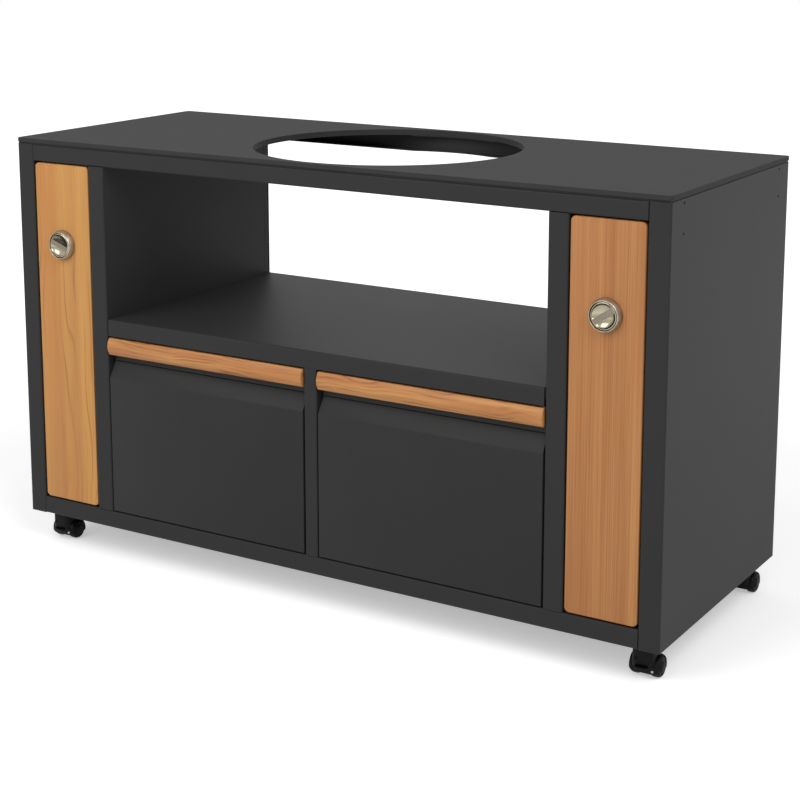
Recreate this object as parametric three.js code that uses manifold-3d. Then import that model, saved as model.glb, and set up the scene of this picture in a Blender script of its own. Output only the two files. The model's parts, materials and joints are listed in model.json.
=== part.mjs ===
// A steel table on casters for a round ceramic grill: a plate top with a round cut-out, an open
// bay under it, two drawers with wooden pulls and a narrow cupboard with a wooden door at each end.
// Millimetres, +Z up. The front faces -Y, the right end is at +X, and the origin is on the floor
// under the middle of the table. Pieces of the right end are drawn, and the left end mirrors them.
import * as THREE from 'three';
import { mergeVertices } from 'three/addons/utils/BufferGeometryUtils.js';
import Module from 'manifold-3d';

const wasm = await Module();
wasm.setup();

// Overall sizes
const overallHeight = 848;
const topLength = 1413;
const topDepth = 553;
const topOverhang = 1.5;
const casterHeight = 68;

// Tabletop
const topThickness = 8.5;
const topCornerRadius = 8;
const topEdgeBevel = 0.8;
const shadowGap = 3;
const shadowInset = 6;
const cutoutMargin = 15;

// Sheet steel, and the gap left where one piece is seated on another
const sheet = 2;
const bendRadius = 3.5;
const seatGap = 0.3;
const overrun = 4;

// Posts and rails
const outerPostWidth = 40;
const innerPostWidth = 38;
const centrePostWidth = 28;
const cupboardOpening = 142.5;
const postReturn = 22;
const rearPostDepth = 17;
const rearPostGap = 0.8;
const rearFlangeWidth = 40;
const topRailHeight = 33;
const bottomRailHeight = 35;
const railDepth = 30;
const topLedgeWidth = 22;
const casterLedgeWidth = 90;
const accessoryHoleDiameter = 5;
const accessoryHoleInset = 52;
const accessoryHoleDrop = 7;
const accessoryHoleSpacing = 51;

// Shelf of the bay
const shelfHeight = 500;
const shelfLipHeight = 33;
const shelfSideLipHeight = 20;
const shelfLipGap = 2.5;

// Doors, the lip that stops them and their pivot pins
const doorGap = 3;
const doorThickness = 18;
const doorRecess = 1.5;
const doorCornerRadius = 9;
const doorEdgeBevel = 1.6;
const doorStopWidth = 8;
const doorStopGap = 0.5;
const pivotInset = 18;
const pinDiameter = 8;
const pinInDoor = 14;
const pinPastRail = 5;

// Turn latch: fixed bezel, turning handle with two scoops and a grip bar, cam behind the door
const latchDrop = 161;
const bezelBaseDiameter = 60;
const bezelRimDiameter = 55;
const bezelHeight = 14;
const bezelFoot = 2.5;
const bezelLip = 0.8;
const bezelFloor = 2;
const bezelBore = 50.8;
const spigotDiameter = 18;
const spigotPastDoor = 1;
const handleDiameter = 48;
const handleSink = 1.2;
const handleEdge = 2;
const gripBarWidth = 10.5;
const scoopLength = 42;
const scoopWidth = 34;
const scoopHalfDepth = 9.5;
const scoopRise = 2;
const scoopOffset = 5;
const leftGripAngle = -20;
const rightGripAngle = 35;
const spindleDiameter = 8;
const spindlePastCam = 3;
const camThickness = 3;
const camAir = 0.5;
const camHubRadius = 9;
const camTipRadius = 6;
const camOverlap = 6;

// Drawer fronts and pulls
const drawerGap = 3.2;
const pullTopGap = 4;
const pullHeight = 34;
const pullBulge = 6.5;
const pullEdgeRecess = 1;
const fingerGap = 15;
const slantHeight = 32;
const slantSetback = 18;
const frontTopReturnDepth = 14;
const frontSideReturnWidth = 26;

// Drawer boxes and runners
const boxHeight = 205;
const boxLength = 470;
const boxRise = 14;
const runnerWidth = 12.7;
const runnerLength = 450;
const runnerHeight = 36;
const runnerSteel = 1.2;
const runnerBend = 1.6;
const runnerLip = 5.7;
const runnerReach = 10.5;
const runnerRise = 60;
const slideHeight = 23.6;
const slideReach = 8.4;

// Casters
const casterInsetX = 46;
const casterInsetY = 48;
const plateSize = 56;
const plateThickness = 3;
const plateCornerRadius = 6;
const plateHoleSpacing = 40;
const plateHoleDiameter = 6.5;
const racewayDiameter = 36;
const racewayHeight = 6;
const kingpinDiameter = 9;
const kingpinLength = 13;
const trail = 13;
const wheelDiameter = 38;
const wheelWidth = 17;
const wheelSpacing = 43;
const wheelDome = 3;
const treadRound = 1.8;
const hubDiameter = 18;
const axleDiameter = 6;
const axleCover = 3;
const wheelAir = 0.9;
const runningGap = 0.5;
const hoodWidth = 60;
const hoodWall = 2.4;
const hoodRound = 1.5;
const neckHalfDepth = 14;
const neckDrop = 5;
const hoodFrontAngle = 214;
const hoodShoulderAngle = 165;
const hoodBackAngle = 55;
const hoodTailAngle = 18;
const pedalWidth = 22;
const pedalPivotForward = 3;
const pedalPivotDrop = 41;
const pedalHubRadius = 3.6;
const pedalReach = 19;
const pedalThickness = 4;
const pedalTilt = 14;
const pedalTravel = 12;

// How finely round shapes are cut
const weldTolerance = 1e-3;
const bendSteps = 3;
const cornerSteps = 4;
const cutoutSteps = 72;
const knobSteps = 32;
const wheelSteps = 22;
const boreSteps = 12;
const arcSteps = 8;
const scoopSteps = 18;

// Frame lines worked out from the sizes above
const cutoutRadius = topDepth / 2 - cutoutMargin;
const halfWidth = topLength / 2 - topOverhang;
const backY = topDepth / 2 - topOverhang;
const frontY = -backY;
const bodyBottom = casterHeight;
const bodyTop = overallHeight - topThickness - shadowGap;
const topRailBottom = bodyTop - topRailHeight;
const bottomRailTop = bodyBottom + bottomRailHeight;
const outerPostEdge = halfWidth - outerPostWidth;
const innerPostEdge = outerPostEdge - cupboardOpening;
const bayHalf = innerPostEdge - innerPostWidth;
const centreHalf = centrePostWidth / 2;
const frontRailBack = frontY + railDepth;
const backRailFront = backY - railDepth;
const rearPostFront = backY - rearPostDepth;
const lipBottom = shelfHeight - shelfLipHeight;
const postBottom = bottomRailTop + seatGap;
const postTop = topRailBottom - seatGap;

// Finishes
function finish(color, roughness, metalness) {
  return new THREE.MeshStandardMaterial({ color, roughness, metalness });
}
const topPlateFinish = finish('#3f4042', 0.7, 0.1);
const powderFinish = finish('#3a3b3d', 0.55, 0.2);
const teakFinish = finish('#b8834f', 0.6, 0);
const stainlessFinish = finish('#c9c5ba', 0.25, 1);
const zincFinish = finish('#9da0a3', 0.4, 0.9);
const blackPlasticFinish = finish('#1c1c1d', 0.5, 0);
const tyreFinish = finish('#232325', 0.8, 0);

// Turning geometries into solids and back
function toSolid(geometry) {
  const bare = geometry.clone();
  bare.deleteAttribute('normal');
  bare.deleteAttribute('uv');
  const merged = mergeVertices(bare, weldTolerance);
  const corners = merged.index.array;
  const kept = [];
  for (let i = 0; i < corners.length; i += 3) {
    const [a, b, c] = corners.slice(i, i + 3);
    if (a !== b && b !== c && c !== a) kept.push(a, b, c);
  }
  return new wasm.Manifold(new wasm.Mesh({
    numProp: 3,
    vertProperties: Float32Array.from(merged.attributes.position.array),
    triVerts: Uint32Array.from(kept),
  }));
}

function toGeometry(solid) {
  const mesh = solid.getMesh();
  const geometry = new THREE.BufferGeometry();
  geometry.setAttribute('position', new THREE.BufferAttribute(mesh.vertProperties, mesh.numProp));
  geometry.setIndex(new THREE.BufferAttribute(mesh.triVerts, 1));
  geometry.computeVertexNormals();
  return geometry;
}

// The same piece for the other hand
function mirrored(geometry) {
  const other = geometry.clone().scale(-1, 1, 1);
  const index = other.index.array;
  for (let i = 0; i < index.length; i += 3) {
    [index[i], index[i + 1]] = [index[i + 1], index[i]];
  }
  other.computeVertexNormals();
  return other;
}

const table = new THREE.Group();

function addPiece(name, geometry, material, group = table) {
  const piece = new THREE.Mesh(geometry, material);
  piece.name = name;
  group.add(piece);
  return piece;
}

function addSolid(name, solid, material, group = table) {
  return addPiece(name, toGeometry(solid), material, group);
}

function addBothEnds(name, solid, material) {
  const geometry = toGeometry(solid);
  addPiece(`right_${name}`, geometry, material);
  addPiece(`left_${name}`, mirrored(geometry), material);
}

// Outlines
function outline(points) {
  return new THREE.Shape(points.map(([a, b]) => new THREE.Vector2(a, b)));
}

function roundedBox(a0, b0, a1, b1, radius) {
  const quarter = Math.PI / 2;
  const shape = new THREE.Shape();
  shape.absarc(a1 - radius, b0 + radius, radius, -quarter, 0);
  shape.absarc(a1 - radius, b1 - radius, radius, 0, quarter);
  shape.absarc(a0 + radius, b1 - radius, radius, quarter, 2 * quarter);
  shape.absarc(a0 + radius, b0 + radius, radius, 2 * quarter, 3 * quarter);
  return shape;
}

// An open path with an arc of its own radius at each inner corner
function softenPath(path, radii) {
  const points = [path[0]];
  for (let i = 1; i < path.length - 1; i += 1) {
    const corner = new THREE.Vector2(...path[i]);
    const back = new THREE.Vector2(...path[i - 1]).sub(corner).normalize();
    const ahead = new THREE.Vector2(...path[i + 1]).sub(corner).normalize();
    const half = Math.acos(THREE.MathUtils.clamp(back.dot(ahead), -1, 1)) / 2;
    const middle = back.clone().add(ahead).normalize();
    middle.multiplyScalar(radii[i] / Math.sin(half)).add(corner);
    const reach = radii[i] / Math.tan(half);
    const start = corner.clone().addScaledVector(back, reach).sub(middle);
    const end = corner.clone().addScaledVector(ahead, reach).sub(middle);
    const turn = Math.atan2(start.cross(end), start.dot(end));
    for (let k = 0; k <= bendSteps; k += 1) {
      const spoke = start.clone().rotateAround(new THREE.Vector2(), (turn * k) / bendSteps);
      points.push([middle.x + spoke.x, middle.y + spoke.y]);
    }
  }
  points.push(path[path.length - 1]);
  return points;
}

// The same path moved to its left by a distance, with square corners
function offsetPath(path, distance) {
  const normals = path.slice(1).map(([a, b], i) => {
    const along = new THREE.Vector2(a - path[i][0], b - path[i][1]).normalize();
    return new THREE.Vector2(-along.y, along.x);
  });
  return path.map(([a, b], i) => {
    const before = normals[Math.max(i - 1, 0)];
    const after = normals[Math.min(i, normals.length - 1)];
    const middle = before.clone().add(after);
    middle.multiplyScalar((2 * distance) / middle.lengthSq());
    return [a + middle.x, b + middle.y];
  });
}

// The section of a sheet folded along a path, its thickness on the path's left, or right if negative
function foldedSheet(path, thickness, bend = bendRadius) {
  const inner = bend - Math.abs(thickness);
  const near = path.map(() => bend);
  const far = path.map(() => bend);
  for (let i = 1; i < path.length - 1; i += 1) {
    const before = new THREE.Vector2(path[i][0] - path[i - 1][0], path[i][1] - path[i - 1][1]);
    const after = new THREE.Vector2(path[i + 1][0] - path[i][0], path[i + 1][1] - path[i][1]);
    const wraps = before.cross(after) * thickness > 0;
    near[i] = wraps ? bend : inner;
    far[i] = wraps ? inner : bend;
  }
  const farPath = softenPath(offsetPath(path, thickness), far);
  return outline([...softenPath(path, near), ...farPath.reverse()]);
}

// Solids from outlines: drawn in XY and raised, in YZ and run along X, or in XZ and run along Y
function prism(shape, length, steps) {
  return new THREE.ExtrudeGeometry(shape, { depth: length, bevelEnabled: false, curveSegments: steps });
}

function prismZ(shape, z0, z1, steps = cornerSteps) {
  return toSolid(prism(shape, z1 - z0, steps).translate(0, 0, z0));
}

const turnToX = new THREE.Matrix4().set(0, 0, 1, 0, 1, 0, 0, 0, 0, 1, 0, 0, 0, 0, 0, 1);

function prismX(shape, x0, x1, steps = cornerSteps) {
  return toSolid(prism(shape, x1 - x0, steps).applyMatrix4(turnToX).translate(x0, 0, 0));
}

function prismY(shape, y0, y1, steps = cornerSteps) {
  return toSolid(prism(shape, y1 - y0, steps).rotateX(Math.PI / 2).translate(0, y1, 0));
}

// A plate with bevelled rims, its outline kept at its full size
function bevelledPlate(shape, thickness, bevel, steps, bevelSegments) {
  return new THREE.ExtrudeGeometry(shape, {
    depth: thickness - 2 * bevel,
    bevelEnabled: true,
    bevelThickness: bevel,
    bevelSize: bevel,
    bevelOffset: -bevel,
    bevelSegments,
    curveSegments: steps,
  }).translate(0, 0, bevel);
}

function block(x0, x1, y0, y1, z0, z1) {
  const geometry = new THREE.BoxGeometry(x1 - x0, y1 - y0, z1 - z0);
  return toSolid(geometry.translate((x0 + x1) / 2, (y0 + y1) / 2, (z0 + z1) / 2));
}

function rod(radius, length, steps) {
  return new THREE.CylinderGeometry(radius, radius, length, steps);
}

function rodX(radius, x0, x1, y, z, steps = boreSteps) {
  return toSolid(rod(radius, x1 - x0, steps).rotateZ(Math.PI / 2).translate((x0 + x1) / 2, y, z));
}

function rodY(radius, y0, y1, x, z, steps = boreSteps) {
  return toSolid(rod(radius, y1 - y0, steps).translate(x, (y0 + y1) / 2, z));
}

function rodZ(radius, z0, z1, x, y, steps = boreSteps) {
  return toSolid(rod(radius, z1 - z0, steps).rotateX(Math.PI / 2).translate(x, y, (z0 + z1) / 2));
}

// A turned piece: a profile of radius and height that closes on itself or ends on the axis
function turned(profile, steps) {
  const points = profile.map(([r, h]) => new THREE.Vector2(r, h));
  if (THREE.ShapeUtils.area(points) < 0) points.reverse();
  return new THREE.LatheGeometry(points, steps);
}

function join(first, ...others) {
  return others.reduce((sum, next) => sum.add(next), first);
}

function cut(first, ...others) {
  return others.reduce((rest, next) => rest.subtract(next), first);
}

// Tabletop: a bevelled plate over a set-back step that leaves the shadow groove
function makeTabletop() {
  const x = topLength / 2;
  const y = topDepth / 2;
  const face = roundedBox(-x, -y, x, y, topCornerRadius);
  const plate = toSolid(
    bevelledPlate(face, topThickness, topEdgeBevel, cornerSteps, 1).translate(0, 0, bodyTop + shadowGap),
  );
  const step = prismZ(
    roundedBox(-x + shadowInset, -y + shadowInset, x - shadowInset, y - shadowInset, topCornerRadius),
    bodyTop + seatGap,
    bodyTop + shadowGap + topThickness / 2,
  );
  const hole = rodZ(cutoutRadius, bodyTop - overrun, overallHeight + overrun, 0, 0, cutoutSteps);
  addSolid('tabletop', cut(join(plate, step), hole), topPlateFinish);
}

// End panel: side, front post face and rear flange folded from one sheet, with ledges welded in
function makeSidePanels() {
  const skin = prismZ(foldedSheet([
    [outerPostEdge, frontY + postReturn],
    [outerPostEdge, frontY],
    [halfWidth, frontY],
    [halfWidth, backY],
    [halfWidth - rearFlangeWidth, backY],
    [halfWidth - rearFlangeWidth, backY - postReturn],
  ], sheet), bodyBottom, bodyTop);
  const wall = halfWidth - sheet / 2;
  const postInside = outerPostEdge + sheet + seatGap;
  const ledgeFront = frontRailBack + seatGap;
  const ledgeBack = backRailFront - seatGap;
  const bottomLedge = prismZ(outline([
    [wall, frontY + sheet / 2],
    [wall, backY - sheet / 2],
    [postInside, backY - sheet / 2],
    [postInside, ledgeBack],
    [halfWidth - casterLedgeWidth, ledgeBack],
    [halfWidth - casterLedgeWidth, ledgeFront],
    [postInside, ledgeFront],
    [postInside, frontY + sheet / 2],
  ]), bodyBottom, bodyBottom + sheet);
  const topEdge = halfWidth - topLedgeWidth;
  const topLedge = block(topEdge, wall, ledgeFront, ledgeBack, bodyTop - sheet, bodyTop);
  const holes = [];
  for (const y of [frontY + accessoryHoleInset, backY - accessoryHoleInset]) {
    for (const drop of [accessoryHoleDrop, accessoryHoleDrop + accessoryHoleSpacing]) {
      const radius = accessoryHoleDiameter / 2;
      holes.push(rodX(radius, halfWidth - sheet - overrun, halfWidth + overrun, y, bodyTop - drop));
    }
  }
  addBothEnds('side_panel', cut(join(skin, bottomLedge, topLedge), ...holes), powderFinish);
}

// Inner post and bay wall: one sheet with the post face, its return and the lip that stops the door
const doorFace = frontY + doorRecess;
const doorBack = doorFace + doorThickness;
const stopFace = doorBack + doorStopGap;
const stopEdge = innerPostEdge + doorStopWidth;
function makePartitions() {
  const wallBack = rearPostFront - rearPostGap;
  const post = prismZ(foldedSheet([
    [stopEdge, stopFace],
    [innerPostEdge, stopFace],
    [innerPostEdge, frontY],
    [bayHalf, frontY],
    [bayHalf, wallBack],
  ], -sheet), postBottom, postTop);
  const ledgeFront = frontRailBack + seatGap;
  const ledgeBack = backRailFront - seatGap;
  const crown = block(bayHalf, bayHalf + sheet, ledgeFront, ledgeBack, postTop - sheet, bodyTop);
  addBothEnds('partition', join(post, crown), powderFinish);
}

function makeRearPosts() {
  const back = backY - sheet - seatGap;
  addBothEnds('rear_post', prismZ(foldedSheet([
    [innerPostEdge, rearPostFront],
    [innerPostEdge, back],
    [bayHalf, back],
    [bayHalf, rearPostFront],
  ], sheet), postBottom, postTop), powderFinish);
}

// Rails: channels between the outer posts, the front ones bored for the door pins, and the
// upper ones notched in an arc where the grill hangs through
const pivotX = outerPostEdge - doorGap - pivotInset;
const pivotY = doorFace + doorThickness / 2;
function makeRails() {
  const half = outerPostEdge - seatGap;
  const radius = pinDiameter / 2 + seatGap;
  for (const [level, z0, z1] of [['bottom', bodyBottom, bottomRailTop], ['top', topRailBottom, bodyTop]]) {
    const front = prismX(foldedSheet([
      [frontRailBack, z0],
      [frontY, z0],
      [frontY, z1],
      [frontRailBack, z1],
    ], -sheet), -half, half);
    const back = prismX(foldedSheet([
      [backRailFront, z0],
      [backY, z0],
      [backY, z1],
      [backRailFront, z1],
    ], sheet), -half, half);
    const edge = level === 'bottom' ? z1 - sheet : z0;
    const bores = [-pivotX, pivotX].map((x) => (
      rodZ(radius, edge - overrun, edge + sheet + overrun, x, pivotY)
    ));
    const passage = rodZ(cutoutRadius, topRailBottom - overrun, bodyTop + overrun, 0, 0, cutoutSteps);
    addSolid(`front_${level}_rail`, cut(front, ...bores, passage), powderFinish);
    addSolid(`back_${level}_rail`, cut(back, passage), powderFinish);
  }
}

// A tray folded down on four sides, from its top face to the foot of each lip
function foldedTray(halfX, halfY, lipHalfX, top, endDrop, sideDrop) {
  const lengthwise = prismX(foldedSheet([
    [-halfY, top - endDrop],
    [-halfY, top],
    [halfY, top],
    [halfY, top - endDrop],
  ], -sheet), -lipHalfX, lipHalfX);
  const crosswise = prismY(foldedSheet([
    [-halfX, top - sideDrop],
    [-halfX, top],
    [halfX, top],
    [halfX, top - sideDrop],
  ], -sheet), -halfY + bendRadius, halfY - bendRadius);
  return join(lengthwise, crosswise);
}

function makeShelf() {
  const lipHalf = bayHalf - shelfLipGap;
  addSolid('shelf', foldedTray(
    bayHalf - seatGap, backY, lipHalf, shelfHeight, shelfLipHeight, shelfSideLipHeight,
  ), powderFinish);
}

function makeFloorPanel() {
  const halfX = halfWidth - sheet - seatGap;
  const halfY = backRailFront - seatGap;
  const drop = bottomRailHeight - sheet - seatGap;
  const tray = foldedTray(halfX, halfY, halfX - bendRadius, bottomRailTop, drop, drop);
  addSolid('floor_panel', tray, powderFinish);
}

function makeBackPanel() {
  const side = halfWidth - rearFlangeWidth - seatGap;
  const sill = lipBottom - seatGap;
  addSolid('back_panel', prismY(outline([
    [-side, postBottom],
    [side, postBottom],
    [side, postTop],
    [bayHalf, postTop],
    [bayHalf, sill],
    [-bayHalf, sill],
    [-bayHalf, postTop],
    [-side, postTop],
  ]), backY - sheet, backY), powderFinish);
}

// Centre post: a face between the drawers and two webs behind it that carry the inner runners
function makeCentreDivider() {
  const back = backY - sheet - seatGap;
  const post = prismZ(foldedSheet([
    [centreHalf, back],
    [centreHalf, frontY],
    [-centreHalf, frontY],
    [-centreHalf, back],
  ], -sheet), postBottom, lipBottom - seatGap);
  const underShelf = shelfHeight - sheet - seatGap;
  const reach = backY - bendRadius - seatGap;
  const webs = [-centreHalf, centreHalf - sheet].map((x) => (
    block(x, x + sheet, -reach, reach, lipBottom - sheet, underShelf)
  ));
  addSolid('centre_divider', join(post, ...webs), powderFinish);
}

// Doors
const doorLeft = innerPostEdge + doorGap;
const doorRight = outerPostEdge - doorGap;
const doorBottom = bottomRailTop + doorGap;
const doorTop = topRailBottom - doorGap;
const doorMiddle = (doorLeft + doorRight) / 2;
const latchHeight = doorTop - latchDrop;
function makeDoors() {
  const face = roundedBox(doorLeft, doorBottom, doorRight, doorTop, doorCornerRadius);
  const slab = toSolid(
    bevelledPlate(face, doorThickness, doorEdgeBevel, cornerSteps, 2)
      .rotateX(Math.PI / 2)
      .translate(0, doorBack, 0),
  );
  const pinRadius = pinDiameter / 2;
  const bore = pinRadius + seatGap;
  const lowEnd = doorBottom + pinInDoor;
  const highEnd = doorTop - pinInDoor;
  const spigotBore = spigotDiameter / 2 + seatGap;
  addBothEnds('door', cut(
    slab,
    rodZ(bore, doorBottom - overrun, lowEnd + seatGap, pivotX, pivotY),
    rodZ(bore, highEnd - seatGap, doorTop + overrun, pivotX, pivotY),
    rodY(spigotBore, doorFace - overrun, doorBack + overrun, doorMiddle, latchHeight, knobSteps),
  ), teakFinish);
  const pinFoot = bottomRailTop - sheet - pinPastRail;
  const pinHead = topRailBottom + sheet + pinPastRail;
  addBothEnds('lower_door_pin', rodZ(pinRadius, pinFoot, lowEnd, pivotX, pivotY), stainlessFinish);
  addBothEnds('upper_door_pin', rodZ(pinRadius, highEnd, pinHead, pivotX, pivotY), stainlessFinish);
}

// Bezel, about the latch axis: heights are distances out of the door's face
const handleFace = bezelHeight - handleSink;
function makeBezel() {
  const spindleBore = spindleDiameter / 2 + seatGap;
  const boreRadius = bezelBore / 2;
  const rim = bezelRimDiameter / 2;
  const base = bezelBaseDiameter / 2;
  const spigotEnd = -doorThickness - spigotPastDoor;
  const waist = (bezelFoot + bezelHeight) / 2;
  return turned([
    [spindleBore, spigotEnd],
    [spigotDiameter / 2, spigotEnd],
    [spigotDiameter / 2, seatGap],
    [base, seatGap],
    [base, bezelFoot],
    [rim + bezelLip, waist],
    [rim, bezelHeight - 2 * bezelLip],
    [rim - bezelLip, bezelHeight],
    [boreRadius + bezelLip, bezelHeight],
    [boreRadius, bezelHeight - bezelLip],
    [boreRadius, bezelFloor],
    [spindleBore, bezelFloor],
    [spindleBore, spigotEnd],
  ], knobSteps);
}

// Turning handle: a disc with a finger scoop on each side of its grip bar, on the spindle
const camFront = stopFace + sheet + camAir - doorFace;
function makeHandle(gripAngle) {
  const radius = handleDiameter / 2;
  const spindle = spindleDiameter / 2;
  const end = -camFront - camThickness - spindlePastCam;
  const disc = toSolid(turned([
    [0, end],
    [spindle, end],
    [spindle, bezelFloor + seatGap],
    [radius, bezelFloor + seatGap],
    [radius, handleFace - handleEdge],
    [radius - handleEdge, handleFace],
    [0, handleFace],
  ], knobSteps));
  const scoops = [-1, 1].map((side) => {
    const bowl = toSolid(
      new THREE.SphereGeometry(1, scoopSteps, scoopSteps / 2)
        .scale(scoopLength / 2, scoopHalfDepth, scoopWidth / 2)
        .translate(0, handleFace + scoopRise, side * scoopOffset),
    );
    const near = side * (gripBarWidth / 2);
    const far = side * handleDiameter;
    const [low, high] = [near, far].sort((a, b) => a - b);
    const window = block(-handleDiameter, handleDiameter, 0, handleFace + handleDiameter, low, high);
    return bowl.intersect(window);
  });
  return toGeometry(cut(disc, ...scoops)).rotateY(THREE.MathUtils.degToRad(gripAngle));
}

// The cam hangs behind the door, and its tip swings under the lip of the inner post
function makeCam() {
  const reach = doorMiddle - stopEdge + camOverlap - camTipRadius;
  const shape = new THREE.Shape();
  shape.absarc(0, 0, camHubRadius, Math.PI, 2 * Math.PI);
  shape.absarc(0, reach, camTipRadius, 0, Math.PI);
  const back = doorFace + camFront + camThickness;
  const front = doorFace + camFront;
  const boss = rodY(camHubRadius, doorBack + spigotPastDoor + seatGap, back, 0, 0);
  const arm = prismY(shape, front, back, arcSteps);
  const bore = rodY(spindleDiameter / 2 + seatGap, doorBack - overrun, back + overrun, 0, 0);
  return toGeometry(cut(join(arm, boss), bore));
}

function makeLatches() {
  for (const [label, side, angle] of [['left', -1, leftGripAngle], ['right', 1, rightGripAngle]]) {
    const latch = new THREE.Group();
    latch.position.set(side * doorMiddle, 0, latchHeight);
    table.add(latch);
    const bezel = addPiece(`${label}_latch_bezel`, makeBezel(), stainlessFinish, latch);
    const handle = addPiece(`${label}_latch_handle`, makeHandle(angle), stainlessFinish, latch);
    for (const turnedPiece of [bezel, handle]) {
      turnedPiece.position.set(0, doorFace, 0);
      turnedPiece.rotation.set(Math.PI, 0, 0);
    }
    addPiece(`${label}_latch_cam`, makeCam(), zincFinish, latch);
  }
}

// Drawer front: a folded pan with a slanted band under the pull, closed at its ends, whose side
// returns the box is screwed to
const drawerBottom = bottomRailTop + drawerGap;
const drawerInner = centreHalf + drawerGap;
const drawerOuter = bayHalf - drawerGap;
const pullTop = lipBottom - pullTopGap;
const pullBottom = pullTop - pullHeight;
const slantTop = pullBottom - fingerGap;
const wallFace = frontY + slantSetback;
const boxFront = wallFace + sheet + seatGap;
function makeDrawerFronts() {
  const face = [
    [boxFront - seatGap, drawerBottom],
    [frontY, drawerBottom],
    [frontY, slantTop - slantHeight],
    [wallFace, slantTop],
    [wallFace, pullTop],
    [wallFace + frontTopReturnDepth, pullTop],
  ];
  const pan = prismX(foldedSheet(face, -sheet), drawerInner, drawerOuter);
  const cheek = outline([
    ...offsetPath(face.slice(0, -1), -sheet / 2),
    [wallFace + sheet, pullTop - sheet],
    [wallFace + sheet, drawerBottom + sheet / 2],
  ]);
  const sideReturns = [
    [drawerInner + sheet / 2, drawerInner + frontSideReturnWidth],
    [drawerOuter - frontSideReturnWidth, drawerOuter - sheet / 2],
  ].map(([x0, x1]) => (
    block(x0, x1, wallFace, wallFace + sheet, drawerBottom + sheet / 2, slantTop - slantHeight)
  ));
  addBothEnds('drawer_front', join(
    pan,
    prismX(cheek, drawerInner, drawerInner + sheet),
    prismX(cheek, drawerOuter - sheet, drawerOuter),
    ...sideReturns,
  ), powderFinish);
}

// Pull: a wooden strip whose front swells out in a shallow arc
function makeDrawerPulls() {
  const edge = frontY + pullEdgeRecess;
  const half = pullHeight / 2;
  const radius = (half * half + pullBulge * pullBulge) / (2 * pullBulge);
  const spread = Math.asin(half / radius);
  const back = wallFace - seatGap;
  const shape = new THREE.Shape();
  shape.moveTo(back, pullTop);
  shape.absarc(edge - pullBulge + radius, pullTop - half, radius, Math.PI - spread, Math.PI + spread);
  shape.lineTo(back, pullBottom);
  addBothEnds('drawer_pull', prismX(shape, drawerInner, drawerOuter, arcSteps), teakFinish);
}

// Drawer box: four sides and a floor, open at the top
const boxInner = centreHalf + runnerWidth;
const boxOuter = bayHalf - runnerWidth;
const boxBottom = drawerBottom + boxRise;
function makeDrawerBoxes() {
  const back = boxFront + boxLength;
  const top = boxBottom + boxHeight;
  const outside = block(boxInner, boxOuter, boxFront, back, boxBottom, top);
  const hollow = block(
    boxInner + sheet, boxOuter - sheet, boxFront + sheet, back - sheet, boxBottom + sheet, top + overrun,
  );
  addBothEnds('drawer_box', cut(outside, hollow), powderFinish);
}

// Runners: a channel on the cabinet with turned-in lips, and a slide on the drawer that runs in it
function makeRunners() {
  const middle = boxBottom + runnerRise;
  const half = runnerHeight / 2;
  const slideHalf = slideHeight / 2;
  const front = boxFront + sheet;
  for (const [label, wall, into] of [['inner', centreHalf, 1], ['outer', bayHalf, -1]]) {
    const foot = wall + into * seatGap;
    const mouth = foot + into * runnerReach;
    const channel = foldedSheet([
      [mouth, middle - half + runnerLip],
      [mouth, middle - half],
      [foot, middle - half],
      [foot, middle + half],
      [mouth, middle + half],
      [mouth, middle + half - runnerLip],
    ], -into * runnerSteel, runnerBend);
    const web = wall + into * (runnerWidth - seatGap);
    const tongue = web - into * slideReach;
    const slide = foldedSheet([
      [tongue, middle - slideHalf],
      [web, middle - slideHalf],
      [web, middle + slideHalf],
      [tongue, middle + slideHalf],
    ], into * runnerSteel, runnerBend);
    addBothEnds(`${label}_drawer_channel`, prismY(channel, front, front + runnerLength), zincFinish);
    addBothEnds(`${label}_drawer_slide`, prismY(slide, front, front + runnerLength), zincFinish);
  }
}

// Caster, drawn about its swivel axis with the underside of the table at height zero
const wheelRadius = wheelDiameter / 2;
const axleHeight = wheelRadius - casterHeight;
const wheelInside = (wheelSpacing - wheelWidth) / 2;
const wheelOutside = (wheelSpacing + wheelWidth) / 2;
const racewayBottom = -seatGap - plateThickness - racewayHeight;
const kingpinBottom = racewayBottom - kingpinLength;
const hoodTop = racewayBottom - runningGap;
const axleEnd = wheelOutside - axleCover - seatGap;

function makeCasterPlate() {
  const half = plateSize / 2;
  const plate = prismZ(
    roundedBox(-half, -half, half, half, plateCornerRadius), -seatGap - plateThickness, -seatGap,
  );
  const raceway = rodZ(racewayDiameter / 2, racewayBottom, -seatGap - plateThickness / 2, 0, 0, wheelSteps);
  const kingpin = rodZ(kingpinDiameter / 2, kingpinBottom, racewayBottom + overrun, 0, 0);
  const holeAt = plateHoleSpacing / 2;
  const holes = [[-1, -1], [1, -1], [1, 1], [-1, 1]].map(([a, b]) => (
    rodZ(plateHoleDiameter / 2, -seatGap - plateThickness - overrun, overrun, a * holeAt, b * holeAt)
  ));
  return toGeometry(join(cut(plate, ...holes), raceway, kingpin));
}

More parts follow.
